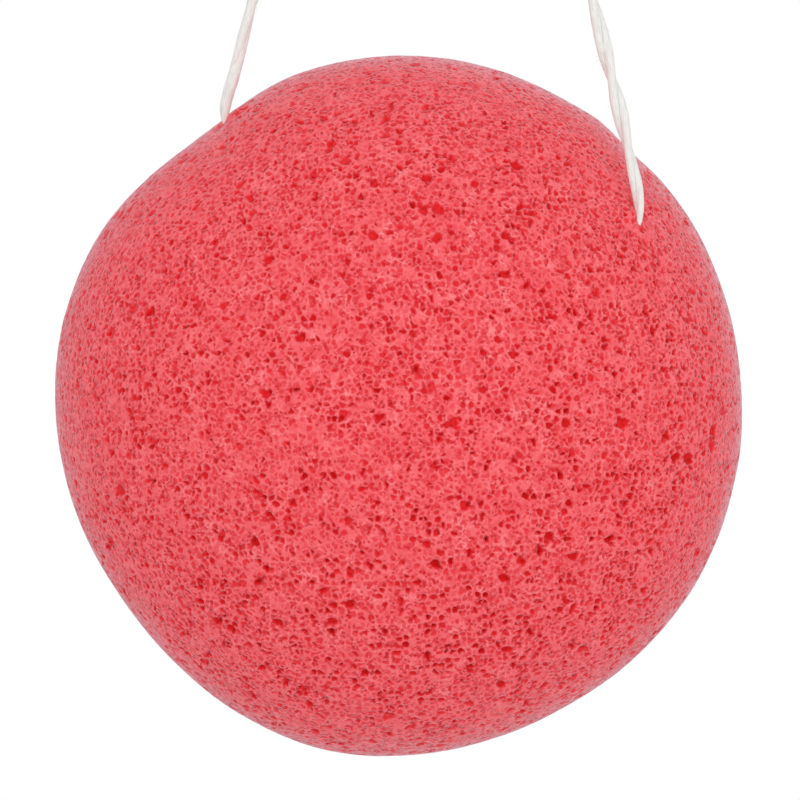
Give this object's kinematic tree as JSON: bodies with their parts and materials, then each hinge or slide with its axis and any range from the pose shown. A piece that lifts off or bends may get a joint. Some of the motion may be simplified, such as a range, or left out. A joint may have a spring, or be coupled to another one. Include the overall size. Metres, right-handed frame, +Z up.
{
  "type": "konjac sponge",
  "caption": "Domed face sponge of porous foam with a flat back, hung on a twisted cotton string loop threaded through its upper part and knotted at the top.",
  "frame": {"origin": "hang point: the crotch of the string loop, just under its knot, where a hook carries the sponge", "axes": "+Z up along the hanging loop, +X to the right seen from the domed face, +Y from the domed face towards the flat back"},
  "size_m": [0.0799, 0.03, 0.1799],
  "materials": {
    "konjac_foam": "matte",
    "cotton_string": "matte"
  },
  "bodies": {
    "hanging_loop": {"string_through": "cotton_string", "string_left_leg": "cotton_string", "string_right_leg": "cotton_string", "string_knot": "cotton_string", "string_left_tail": "cotton_string", "string_right_tail": "cotton_string"},
    "sponge": {"sponge_body": "konjac_foam"}
  },
  "joints": [
    {"name": "sponge_swing", "type": "hinge", "parent": "hanging_loop", "child": "sponge", "pos_m": [-0.02244, 0.00407, -0.09138], "axis": [0.9526, -0.1911, -0.2367], "range_deg": [-110, 30]}
  ]
}
